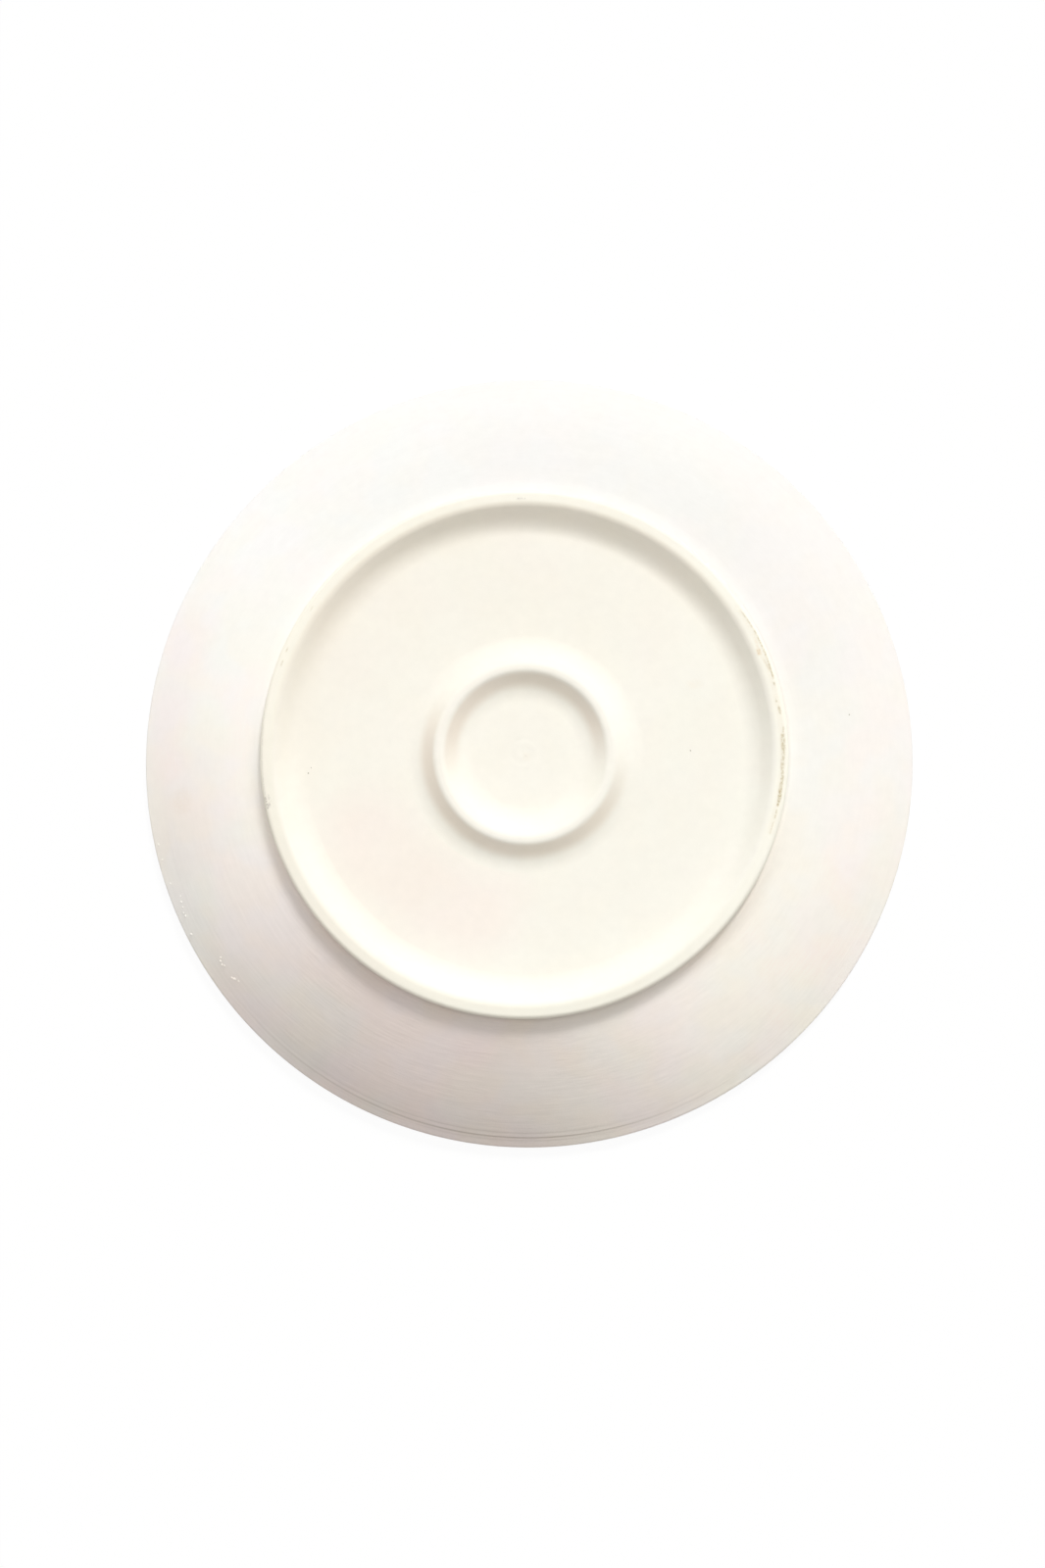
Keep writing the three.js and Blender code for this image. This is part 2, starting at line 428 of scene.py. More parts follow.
def leave_toolmarks(tree, clay, given, radius, angle):
    outwards = maths(tree, "DIVIDE", radius, given["Ridge Spacing"])
    round_x = product(tree, maths(tree, "COSINE", angle), given["Ridge Wander"])
    round_y = product(tree, maths(tree, "SINE", angle), given["Ridge Wander"])
    mark_space = put(tree, "ShaderNodeCombineXYZ", {"X": outwards, "Y": round_x, "Z": round_y}).outputs[0]
    noise = put(tree, "ShaderNodeTexNoise", {"Vector": mark_space, "W": given["Seed"], "Scale": 1.0,
                                             "Detail": 2.0}, noise_dimensions="4D").outputs[0]
    about_zero = maths(tree, "SUBTRACT", noise, 0.5)
    ridge = product(tree, about_zero, given["Ridge Depth"], named_value(tree, "ridges"))

    turns_out = maths(tree, "DIVIDE", radius, given["Swirl Pitch"])
    spiral = maths(tree, "ADD", angle, product(tree, turns_out, math.tau))
    curl = product(tree, maths(tree, "COSINE", spiral), given["Swirl Depth"], named_value(tree, "swirl"))

    pressed = maths(tree, "COSINE", maths(tree, "SUBTRACT", angle, given["Press Angle"]))
    pressed = maths(tree, "POWER", maths(tree, "MAXIMUM", pressed, 0.0), press_sharpness)
    pressed = product(tree, pressed, product(tree, noise, 2.0))
    groove = product(tree, pressed, named_value(tree, "groove"))
    clay = store(tree, clay, "groove", groove, data_type="FLOAT")

    normal = put(tree, "GeometryNodeInputNormal").outputs[0]
    moved = maths(tree, "SUBTRACT", maths(tree, "ADD", ridge, curl), named_value(tree, "groove"))
    return shift(tree, clay, scaled(tree, normal, moved))


def leave_out_of_true(tree, clay, given, radius, angle):
    oval = product(tree, maths(tree, "COSINE", product(tree, angle, 2.0)), given["Out Of Round"])
    position = put(tree, "GeometryNodeInputPosition").outputs[0]
    widened = scaled(tree, level_part(tree, position), oval)
    reach = {"Value": radius, "From Min": given["Rim Radius"], "From Max": given["Foot Radius"]}
    inner = put(tree, "ShaderNodeMapRange", reach, interpolation_type="SMOOTHSTEP").outputs[0]
    slid = scaled(tree, given["Off Centre"], inner)
    both = put(tree, "ShaderNodeVectorMath", {0: widened, 1: slid}, operation="ADD").outputs[0]
    return shift(tree, clay, both)


# %% Build the wheel
wheel_inputs = {
    "Steps Round": "Int", "Ridge Depth": "Float", "Ridge Spacing": "Float", "Ridge Wander": "Float",
    "Swirl Depth": "Float", "Swirl Pitch": "Float", "Press Angle": "Float", "Out Of Round": "Float",
    "Off Centre": "Vector", "Rim Radius": "Float", "Foot Radius": "Float", "Seed": "Float",
    "Finish": "Material"}


def build_wheel():
    tree, given = begin_tree("potters_wheel", wheel_inputs)
    clay = wrap_round(tree, given["Geometry"], given["Steps Round"])
    radius, angle = round_the_axis(tree)
    clay = leave_toolmarks(tree, clay, given, radius, angle)
    clay = leave_out_of_true(tree, clay, given, radius, angle)
    end_tree(tree, clay, given["Finish"])
    return tree


wheel = build_wheel()
print("the wheel has", len(wheel.nodes), "nodes")

# %% [markdown]
# ## From a tree to a plain mesh
# A modifier's inputs are set by identifier before Blender first works it out, and the result is
# then copied into a mesh of its own. The section that fed the tree isn't part of the plate, so it
# is removed. What stays is an ordinary object at the origin, as each piece of the frame is. Its
# signed volume is a quick test of which way the faces point.

# %% Run a tree and keep its mesh
def run_tree(source, tree, name, settings):
    modifier = source.modifiers.new(tree.name, "NODES")
    modifier.node_group = tree
    inputs = [item for item in tree.interface.items_tree if item.in_out == "INPUT"]
    identifiers = {item.name: item.identifier for item in inputs}
    for label, value in settings.items():
        modifier[identifiers[label]] = value
    depsgraph = bpy.context.evaluated_depsgraph_get()
    mesh = bpy.data.meshes.new_from_object(source.evaluated_get(depsgraph))
    mesh.name = name
    source.modifiers.remove(modifier)
    bpy.data.objects.remove(source)
    piece = bpy.data.objects.new(name, mesh)
    bpy.context.scene.collection.objects.link(piece)
    return piece


def volume_of(mesh):
    """Signed volume, which is positive when the faces point outwards."""
    mesh.calc_loop_triangles()
    corners = np.array([[mesh.vertices[i].co for i in t.vertices] for t in mesh.loop_triangles], float)
    normals = np.cross(corners[:, 1], corners[:, 2])
    return float(np.einsum("ij,ij->i", corners[:, 0], normals).sum() / 6)


def print_volume(piece):
    cubic_centimetres = volume_of(piece.data) * 1e6
    print(piece.name, len(piece.data.polygons), "faces, volume", round(cubic_centimetres, 2), "cm3")


# %% [markdown]
# ## Bisque, and where a point lies on it
# Once-fired clay is matt, slightly cream, and never quite even. Its finish is built from noises,
# each of its own size, and from bands that follow the rings. Both read the object's own
# coordinates, so the pattern stays put from any side. A painted texture would hold more, but noises
# and bands can be read and tuned one by one, and they have no seams. Everything starts from a few
# facts about the shaded point: its radius from the plate's axis, its radius from the foot ring's
# own centre, and the side of the plate that it is on.

# %% Helpers for the finish
def noise_of(tree, space, size, detail):
    feeds = {"Vector": space, "Scale": 1 / size, "Detail": detail}
    return put(tree, "ShaderNodeTexNoise", feeds).outputs["Fac"]


def between(tree, value, low, high):
    """0 at low and 1 at high, with soft ends. High may be the smaller of the two."""
    feeds = {"Value": value, "From Min": low, "From Max": high}
    return put(tree, "ShaderNodeMapRange", feeds, interpolation_type="SMOOTHSTEP").outputs[0]


def band(tree, value, edges):
    """1 between the two middle edges, and fading to 0 at the outer ones."""
    rise_start, rise_end, fall_start, fall_end = edges
    rise = between(tree, value, rise_start, rise_end)
    return product(tree, rise, between(tree, value, fall_end, fall_start))


def blend(tree, factor, first, second, how="MIX"):
    first = first if isinstance(first, bpy.types.NodeSocket) else (*first, 1)
    second = second if isinstance(second, bpy.types.NodeSocket) else (*second, 1)
    colours_are_6_and_7 = {"Factor": factor, 6: first, 7: second}
    return put(tree, "ShaderNodeMix", colours_are_6_and_7, data_type="RGBA", blend_type=how).outputs[2]


def painted(tree, name):
    return put(tree, "ShaderNodeAttribute", attribute_name=name).outputs["Fac"]


def towards(tree, spot, side):
    """1 on the side given by an angle, -1 on the far side."""
    along_x = product(tree, spot.facing["X"], math.cos(side))
    return maths(tree, "ADD", along_x, product(tree, spot.facing["Y"], math.sin(side)))


# %% Where the shaded point lies
warm_side = math.radians(-22)
patch_size = 45 * MM
outer_face_blur = 0.3 * MM


def read_spot(tree):
    """Coordinates, radii, side and warmth of the shaded point, as sockets."""
    spot = SimpleNamespace()
    spot.where = put(tree, "ShaderNodeTexCoord").outputs["Object"]
    across = level_part(tree, spot.where)
    spot.radius = length_of(tree, across)
    feeds = {0: across, 1: foot_off_centre}
    from_ring = put(tree, "ShaderNodeVectorMath", feeds, operation="SUBTRACT").outputs[0]
    spot.ring_radius = length_of(tree, from_ring)
    facing = put(tree, "ShaderNodeVectorMath", {0: across}, operation="NORMALIZE").outputs[0]
    spot.facing = put(tree, "ShaderNodeSeparateXYZ", {0: facing}).outputs
    spot.patches = noise_of(tree, spot.where, patch_size, 2.0)
    outer_face = (foot_radius - outer_face_blur, foot_radius + outer_face_blur)
    spot.outside = between(tree, spot.ring_radius, *outer_face)
    outwards = maths(tree, "DIVIDE", spot.radius, rim_radius)
    warmth = product(tree, towards(tree, spot, warm_side), outwards, 0.5)
    spot.warmth = maths(tree, "ADD", warmth, 0.5)
    return spot


# %% [markdown]
# ## Clay of the turned wall, and its painted shade
# The wall outside the foot ring darkens from the top of the picture round to the lower left. The
# lamps give a part of that, and lamps strong enough to give all of it would burn out the top, so
# the rest is painted shade: the clay is coloured darker on the side away from the lamp. A colour
# ramp holds these painted shade tones: 0 is the side turned to the lamp and 1 the far side. A second,
# weaker cast makes the right side warmer than the left. A darker lamp on one side would need no
# ramp, but every view from behind would then turn grey.

# %% Tones of the wall, with painted shade
shaded_side = math.radians(-110)
tone_patchiness = 0.08
# Painted shade: these tones colour the clay darker from the lamp's side round to the far side.
painted_shade_tones = (
    (0.0, (0.86, 0.85, 0.84)), (0.18, (0.90, 0.886, 0.872)), (0.36, (0.955, 0.938, 0.922)),
    (0.55, (0.995, 0.962, 0.927)), (0.72, (0.99, 0.953, 0.912)), (0.82, (0.95, 0.912, 0.875)),
    (0.88, (0.90, 0.848, 0.815)), (0.96, (0.805, 0.74, 0.71)), (0.985, (0.76, 0.69, 0.665)))
turned_casts = ((0.99, 1.0, 1.0), (1.0, 0.985, 0.958))
middle_tone = 0.5


def turned_clay_and_painted_shade(tree, spot):
    uneven = product(tree, maths(tree, "SUBTRACT", spot.patches, 0.5), tone_patchiness)
    # Painted shade by side, from the lamp's side (0) to the far side (1).
    by_side = product(tree, towards(tree, spot, shaded_side), middle_tone)
    along = maths(tree, "ADD", maths(tree, "ADD", by_side, uneven), middle_tone)
    ramp = put(tree, "ShaderNodeValToRGB", {0: along})
    stops = ramp.color_ramp.elements
    first, *inner, last = painted_shade_tones
    stops[0].position, stops[0].color = first[0], (*first[1], 1)
    stops[1].position, stops[1].color = last[0], (*last[1], 1)
    for position, tone in inner:
        stops.new(position).color = (*tone, 1)
    cast = blend(tree, spot.warmth, *turned_casts)
    return blend(tree, 1.0, ramp.outputs[0], cast, "MULTIPLY")


# %% [markdown]
# ## Clay that the sponge smoothed, with painted shade
# Inside the foot ring a wet sponge took the toolmarks away and left a cream skin. Painted shade
# makes it browner in the crease behind the foot ring and on the two flanks of the centre ring, where
# they face away from the lamp. It is paler on that ring's crown, and the foot ring's crest is painted
# lighter on the lamp's side and darker on the far side. Each of these is a band of radii, weighted
# by side where the shade fades away, and the cast runs against that of the wall. Separate materials
# for crest and floor could hold the same colours, but a band fades into the next with no edge.

# %% Cream of the rings and the floor
# Painted shade: the crease and the centre ring's flanks are coloured browner where they face away from the
# lamp.
crease_shadow_side = math.radians(95)
patch_contrast = (0.35, 0.65)
sponged_creams = ((0.967, 0.945, 0.862), (0.957, 0.925, 0.842))
sponged_casts = ((0.985, 0.965, 0.95), (1.0, 1.015, 1.02))
crease_band = (80 * MM, 93 * MM, 95.5 * MM, 98 * MM)
crease_painted_shade = (0.93, 0.86, 0.74)
crease_shade_strength = 0.55
crease_shade_fade = (-0.1, 0.7)
inner_flank_band = (24 * MM, 28 * MM, 30 * MM, 32 * MM)
outer_flank_band = (34 * MM, 36 * MM, 38 * MM, 42 * MM)
flank_painted_shade = (0.88, 0.81, 0.71)
flank_shade_fade = (-0.4, 0.4)
crown_band = (30 * MM, 32 * MM, 34 * MM, 36 * MM)
crown_cream = (0.985, 0.955, 0.875)
crown_strength = 0.7
# Painted light and shade on the foot ring's crest: lighter towards the lamp, darker on the far side.
crest_start, crest_full = 95 * MM, 97 * MM
crest_painted_light_and_shade = ((1.03, 1.03, 1.01), (0.96, 0.955, 0.93))
crest_light_and_shade_fade = (0.0, 0.9)


def sponged_clay_and_painted_shade(tree, spot):
    towards_crease_shadow = towards(tree, spot, crease_shadow_side)
    shaded = towards(tree, spot, shaded_side)
    clay = blend(tree, between(tree, spot.patches, *patch_contrast), *sponged_creams)
    # Painted shade in the crease behind the foot ring and on the centre ring's flanks, by side.
    shade_in_crease = product(tree, band(tree, spot.ring_radius, crease_band),
                        between(tree, towards_crease_shadow, *crease_shade_fade), crease_shade_strength)
    clay = blend(tree, shade_in_crease, clay, crease_painted_shade)
    inner = product(tree, band(tree, spot.radius, inner_flank_band), between(tree, towards_crease_shadow, *flank_shade_fade))
    outer = product(tree, band(tree, spot.radius, outer_flank_band), between(tree, shaded, *flank_shade_fade))
    clay = blend(tree, maths(tree, "ADD", inner, outer), clay, flank_painted_shade)
    on_crown = product(tree, band(tree, spot.radius, crown_band), crown_strength)
    clay = blend(tree, on_crown, clay, crown_cream)
    clay = blend(tree, 1.0, clay, blend(tree, spot.warmth, *sponged_casts), "MULTIPLY")
    # Painted light and shade on the crest, by side.
    crest_light_and_shade = blend(tree, between(tree, shaded, *crest_light_and_shade_fade), *crest_painted_light_and_shade)
    return blend(tree, between(tree, spot.ring_radius, crest_start, crest_full), clay, crest_light_and_shade, "MULTIPLY")


# %% [markdown]
# ## Painted shade and kiln tints
# Painted shadow darkens the corner where the wall meets the foot ring, on the side away from the
# lamp, and a fine painted shade line shows the joint on one side. Over the whole underside the kiln
# leaves faint pink, green and warm patches, so weak that they only show beside each other. The
# eating side, which the picture hides, is plain clay. The tints are two noises of different size
# mixed half and half, since one alone looks like camouflage.

# %% Corner, joint and eating side
# Painted shadow in the corner by the foot ring, darkest on the side away from the lamp.
corner_shadow_side = math.radians(-100)
corner_shadow_fade = (-0.2, 0.8)
# A thin painted shade line along the joint of wall and foot ring, on one side.
joint_side = math.radians(-45)
joint_fade = (-0.2, 0.4)
corner_width = 9 * MM
corner_overlap = 1.7 * MM
corner_shadow_strength = 0.36
joint_width = 1.6 * MM
joint_shade_strength = 0.16
painted_shade_brown = (0.55, 0.47, 0.40)
blush_pink = (1.0, 0.955, 0.965)
eating_side_clay = (0.945, 0.915, 0.86)


def painted_shade_and_blush(tree, spot, clay):
    # Painted shadow in the corner by the foot ring, weighted to the side away from the lamp.
    reach = {"Value": spot.ring_radius, "From Min": foot_radius + corner_width, "From Max": foot_radius,
             "To Max": corner_shadow_strength}
    corner = put(tree, "ShaderNodeMapRange", reach, interpolation_type="SMOOTHERSTEP").outputs[0]
    on_ring = between(tree, spot.ring_radius, foot_radius - corner_overlap, foot_radius)
    by_side = between(tree, towards(tree, spot, corner_shadow_side), *corner_shadow_fade)
    corner = product(tree, corner, on_ring, by_side)
    # Painted shade line along the joint of wall and foot ring.
    near_joint = between(tree, spot.ring_radius, foot_radius + joint_width, foot_radius + outer_face_blur)
    joint = product(tree, near_joint, between(tree, towards(tree, spot, joint_side), *joint_fade),
                    spot.outside, joint_shade_strength)
    clay = blend(tree, maths(tree, "MAXIMUM", corner, joint), clay, painted_shade_brown)
    clay = blend(tree, painted(tree, "blush"), clay, blush_pink, "MULTIPLY")
    return blend(tree, painted(tree, "underside"), eating_side_clay, clay)


# %% Kiln tints
large_tint_size, large_tint_contrast = 34 * MM, (0.38, 0.62)
small_tint_size, small_tint_contrast = 15 * MM, (0.35, 0.65)
tint_fade = (-1.6, 0.6)
pink_and_green = ((1.0, 0.95, 0.96), (0.955, 0.975, 0.935))
cool_and_warm = ((0.97, 0.985, 0.99), (1.0, 0.98, 0.93))
mean_tint = 0.972
least_tint = 0.2


def tinted(tree, spot, clay):
    large = between(tree, noise_of(tree, spot.where, large_tint_size, 1.0), *large_tint_contrast)
    small = between(tree, noise_of(tree, spot.where, small_tint_size, 1.0), *small_tint_contrast)
    tints = blend(tree, 0.5, blend(tree, large, *pink_and_green), blend(tree, small, *cool_and_warm))
    tints = scaled(tree, tints, 1 / mean_tint)
    by_side = between(tree, towards(tree, spot, shaded_side), *tint_fade)
    strength = maths(tree, "ADD", product(tree, spot.outside, by_side, 1 - least_tint), least_tint)
    return blend(tree, strength, clay, tints, "MULTIPLY")


# %% [markdown]
# ## Marks, hair lines and grain
# The marks that later cells paint on the mesh come in here. Each has a brown of its own and a share
# that stays whole where the rest is broken up by a fine noise: a scuff is crumbly, and a speck of
# iron is solid. The turning tools leave hair lines, fine outwards and long round the plate, and
# the clay has a mottle and a grain. These change the shade by a few percent, and a bump tilts the
# light on the lines and the grain a little, because they are too fine to put in the mesh.

# %% Brown marks
mark_breakup_size, breakup_contrast = 0.7 * MM, (0.38, 0.58)
marks = (("scuff", 0.4, (0.50, 0.41, 0.21)), ("rust", 0.5, (0.74, 0.52, 0.26)),
         ("dirt", 0.0, (0.36, 0.31, 0.27)), ("iron", 1.0, (0.42, 0.38, 0.30)))
# The rib's grooves are coloured darker by their depth, partly as dirt in them and partly as painted shade.
groove_dirt_and_shade_brown = (0.40, 0.34, 0.29)
groove_dirt_and_shade = 6.0
most_groove_dirt_and_shade = 0.5


def marked(tree, spot, clay):
    broken = between(tree, noise_of(tree, spot.where, mark_breakup_size, 2.0), *breakup_contrast)
    for name, stays_whole, brown in marks:
        cover = maths(tree, "ADD", product(tree, broken, 1 - stays_whole), stays_whole)
        clay = blend(tree, product(tree, painted(tree, name), cover), clay, brown)
    # Dirt and painted shade in the grooves, by depth.
    dirt_and_shade = product(tree, painted(tree, "groove"), groove_dirt_and_shade / MM)
    return blend(tree, maths(tree, "MINIMUM", dirt_and_shade, most_groove_dirt_and_shade), clay, groove_dirt_and_shade_brown)


# %% Hair lines
scored_side = math.radians(-92)
scored_fade = (0.1, 0.95)
hairline_spacing = 0.85 * MM
hairlines_round = 14.0
scored_patch_size, scored_contrast = 22 * MM, (0.3, 0.6)
scored_least, scored_range = 0.25, 1.2
lines_inside = 0.12
lines_on_eating_side = 0.2


def hair_lines(tree, spot):
    """Fine rings about zero, strongest on the scored side of the outer wall."""
    line_space = put(tree, "ShaderNodeCombineXYZ", {
        "X": product(tree, spot.radius, 1 / hairline_spacing),
        "Y": product(tree, spot.facing["X"], hairlines_round),
        "Z": product(tree, spot.facing["Y"], hairlines_round)}).outputs[0]
    lines = maths(tree, "SUBTRACT", noise_of(tree, line_space, 1.0, 3.0), 0.5)
    in_patches = between(tree, noise_of(tree, spot.where, scored_patch_size, 1.0), *scored_contrast)
    by_side = between(tree, towards(tree, spot, scored_side), *scored_fade)
    scored = maths(tree, "ADD", product(tree, in_patches, by_side, scored_range), scored_least)
    strength = maths(tree, "ADD", product(tree, spot.outside, scored), lines_inside)
    here = product(tree, painted(tree, "underside"), 1 - lines_on_eating_side)
    return product(tree, lines, strength, maths(tree, "ADD", here, lines_on_eating_side))


# %% [markdown]
# ## The finish put together
# The parts above are called one after the other: clay with its painted shade, painted shadow in
# the corner, blushes, kiln tints and marks. The shade is a factor near 1, and the roughness stays
# high, because bisque hardly shines.
# Both slots of the plate use the same recipe, since it is one clay, but each gets a material of its
# own, so that another maker can change the rings without the body.

# %% Bisque material
mottle_size, grain_size = 4 * MM, 0.35 * MM
mottle_shade, grain_shade, line_shade = 0.05, 0.04, 0.08
mean_shade = 0.045
grain_relief, line_relief = 0.5, 0.9
relief_height = 0.09 * MM
relief_strength = 0.6
least_roughness, most_roughness = 0.82, 0.96
shine = 0.25


def bisque(name):
    material = bpy.data.materials.new(name)
    material.use_nodes = True
    tree = material.node_tree
    tree.nodes.clear()
    spot = read_spot(tree)
    clay = blend(tree, spot.outside, sponged_clay_and_painted_shade(tree, spot), turned_clay_and_painted_shade(tree, spot))
    clay = marked(tree, spot, tinted(tree, spot, painted_shade_and_blush(tree, spot, clay)))

    mottle = noise_of(tree, spot.where, mottle_size, 4.0)
    grain = noise_of(tree, spot.where, grain_size, 2.0)
    lines = hair_lines(tree, spot)
    shade = maths(tree, "ADD", product(tree, mottle, mottle_shade), product(tree, grain, grain_shade))
    shade = maths(tree, "ADD", shade, product(tree, lines, line_shade))
    colour = scaled(tree, clay, maths(tree, "ADD", shade, 1 - mean_shade))
    relief = maths(tree, "ADD", product(tree, grain, grain_relief), product(tree, lines, line_relief))
    bump = put(tree, "ShaderNodeBump", {"Height": relief, "Strength": relief_strength,
                                        "Distance": relief_height})
    roughness = put(tree, "ShaderNodeMapRange", {"Value": mottle, "To Min": least_roughness,
                                                 "To Max": most_roughness})
    shader = put(tree, "ShaderNodeBsdfPrincipled", {
        "Base Color": colour, "Roughness": roughness.outputs[0], "Normal": bump.outputs[0],
        "Specular IOR Level": shine})
    put(tree, "ShaderNodeOutputMaterial", {"Surface": shader.outputs[0]})
    return material


turned_bisque = bisque("turned_bisque")
foot_bisque = bisque("foot_bisque")
print("finishes:", turned_bisque.name, foot_bisque.name)

# %% [markdown]
# ## The outside of the wall
# From the lip the wall climbs inwards, bulges a little, flares up to the foot ring and meets it in
# a small fillet. Behind the lip it carries the rib's three fine grooves. A single curve could pass
# through all of it, but a potter makes these parts one by one, and each has a radius or a slope
# that can be measured on the plate.

# %% Wall from the lip to the foot ring
groove_insets = (2.9 * MM, 4.1 * MM, 6.0 * MM)
groove_depths = (0.03 * MM, 0.09 * MM, 0.035 * MM)
groove_half_width = 0.38 * MM
grooved_inset = 7.5 * MM
wall_fillet_radius = 1.1 * MM
fillet_end = -math.pi + math.radians(10)
quarter = math.pi / 2


def wall_near_lip(inset):
    """A point on the straight stretch of wall that runs into the rounded lip edge."""
    edge_end = (rim_radius - lip_edge_round * (1 - math.sin(lip_slope)),
                lip_thickness - lip_edge_round * (1 - math.cos(lip_slope)))
    return rim_radius - inset, edge_end[1] + (edge_end[0] - rim_radius + inset) * math.tan(lip_slope)


def where_slopes_meet(low_end, low_slope, high_end, high_slope):
    """The corner between two straight lines, one rising inwards from each end."""
    run = low_end[0] - high_end[0]
    rise = high_end[1] - low_end[1]
    from_low = (rise - run * math.tan(high_slope)) / (math.tan(low_slope) - math.tan(high_slope))
    return low_end[0] - from_low, low_end[1] + from_low * math.tan(low_slope)


def outer_wall():
    """The wall with its flare, and the fillet that ends it."""
    edge_end = wall_near_lip(lip_edge_round * (1 - math.sin(lip_slope)))
    start = wall_near_lip(grooved_inset)
    flare_centre = (foot_radius + flare_radius * math.sin(flare_slope),
                    shoulder_level + flare_radius * math.cos(flare_slope))
    flare_end = (flare_centre[0] - flare_radius * math.sin(wall_top_slope),
                 flare_centre[1] - flare_radius * math.cos(wall_top_slope))
    corner = where_slopes_meet(start, lip_slope, flare_end, wall_top_slope)
    wall = sweep(start, corner, flare_end, spacing=0.48 * MM)
    flare = arc(flare_centre, flare_radius, -quarter - wall_top_slope, -quarter - flare_slope,
                spacing=0.4 * MM)
    flare = flare[flare[:, 0] > foot_radius + wall_fillet_radius * (1 + math.sin(flare_slope))]
    fillet_centre = (foot_radius + wall_fillet_radius,
                     flare[-1, 1] + wall_fillet_radius * math.cos(flare_slope))
    fillet = arc(fillet_centre, wall_fillet_radius, -quarter - flare_slope, fillet_end, spacing=0.2 * MM)
    return np.vstack([straight(edge_end, start, spacing=0.16 * MM), wall, flare]), fillet


def rib_grooves(radius):
    """How deep the rib's grooves are at each radius."""
    depth = np.zeros(len(radius))
    for inset, deepest in zip(groove_insets, groove_depths):
        depth += deepest * np.exp(-((radius - rim_radius + inset) / groove_half_width) ** 2)
    return depth


print("grooves behind the lip, mm:", [round(depth / MM, 3) for depth in groove_depths])

# %% [markdown]
# ## The plate body
# The body is a coupe: a flat well floor that sweeps out and down to the rim with no corner. The
# section starts on the axis on the eating side, goes out to the lip, round its edge and through the
# grooves, back up the outside of the wall, passes under the foot ring and ends on the axis. Points
# are close together on the outer wall, where the toolmarks show, and wide apart where they don't.
# Two joined surfaces could make the shell as well, but one section closes itself at both ends.

# %% Plate body
swirl_radius = 6 * MM
axis_gap = 0.4 * MM
fine_floor_radius = 20 * MM
wheel_settings = {
    "Ridge Depth": 0.03 * MM, "Ridge Spacing": 1.1 * MM, "Ridge Wander": 1.6, "Swirl Depth": 0.0,
    "Swirl Pitch": 5 * MM, "Press Angle": math.radians(-97), "Out Of Round": -0.002,
    "Off Centre": foot_off_centre, "Rim Radius": rim_radius, "Foot Radius": foot_radius,
    "Seed": 3.0, "Finish": foot_bisque}


def underside_line(from_radius, to_radius, spacing):
    return straight((from_radius, underside_level), (to_radius, underside_level), spacing)


def body_stretches():
    """Each stretch with its share of the ridges and of the swirl."""
    lip_inner = (rim_radius - lip_edge_round - lip_land_width, 0)
    edge_radius = rim_radius - lip_edge_round
    edge_top = (edge_radius, lip_thickness - lip_edge_round)
    well_edge = (well_floor_radius, well_level)
    well_handle = (lip_inner[0] - well_level / math.tan(well_slope), well_level)
    wall, fillet = outer_wall()
    under_foot_ring = np.array([(foot_radius - 1 * MM, shoulder_level + 0.6 * MM),
                                (foot_radius - 4 * MM, shoulder_level),
                                (foot_radius - 7 * MM, underside_level)])
    return [
        (straight((0, well_level), well_edge, spacing=5 * MM), 0.2, 0),
        (sweep(well_edge, well_handle, lip_inner, spacing=3.5 * MM), 0.2, 0),
        (straight(lip_inner, (edge_radius, 0), spacing=0.6 * MM), 0, 0),
        (arc((edge_radius, lip_edge_round), lip_edge_round, -quarter, 0, spacing=0.35 * MM), 0, 0),
        (arc(edge_top, lip_edge_round, 0, quarter - lip_slope, spacing=0.35 * MM), 0, 0),
        (wall, 1.0, 0),
        (fillet, 0.4, 0),
        (under_foot_ring, 0, 0),
        (underside_line(foot_radius - 9 * MM, fine_floor_radius, spacing=2.5 * MM), 0.25, 0),
        (underside_line(fine_floor_radius, swirl_radius, spacing=1.2 * MM), 0.25, 0),
        (underside_line(swirl_radius, axis_gap, spacing=0.5 * MM), 0, 1),
        (np.array([(0, underside_level)]), 0, 0),
    ]


body_section = make_section("body_section", body_stretches(), rib_grooves)
plate_body = run_tree(body_section, wheel, "turned_body", {
    **wheel_settings, "Steps Round": 360, "Ridge Depth": 0.10 * MM, "Ridge Spacing": 1.3 * MM,
    "Ridge Wander": 2.6, "Swirl Depth": 0.05 * MM, "Finish": turned_bisque})
print_volume(plate_body)

# %% [markdown]
# ## The two rings
# Both rings rise from the floor in a concave flank and end in a rounded crest, because the potter
# smooths them down with a fingertip. Flank and crest are arcs that share one slope where they
# meet. A bevelled block would need its rounds guessed by eye, but these follow from the height.
# Each ring's toe dips a hair below the floor of the body, which hides the end of the flank
# and leaves no step, as on a plate where clay runs into clay.

# %% Flank of a ring
toe_dip = 0.002 * MM
toe_end_dip = 4 * toe_dip
toe_length = 0.4 * MM
ring_root = 0.8 * MM


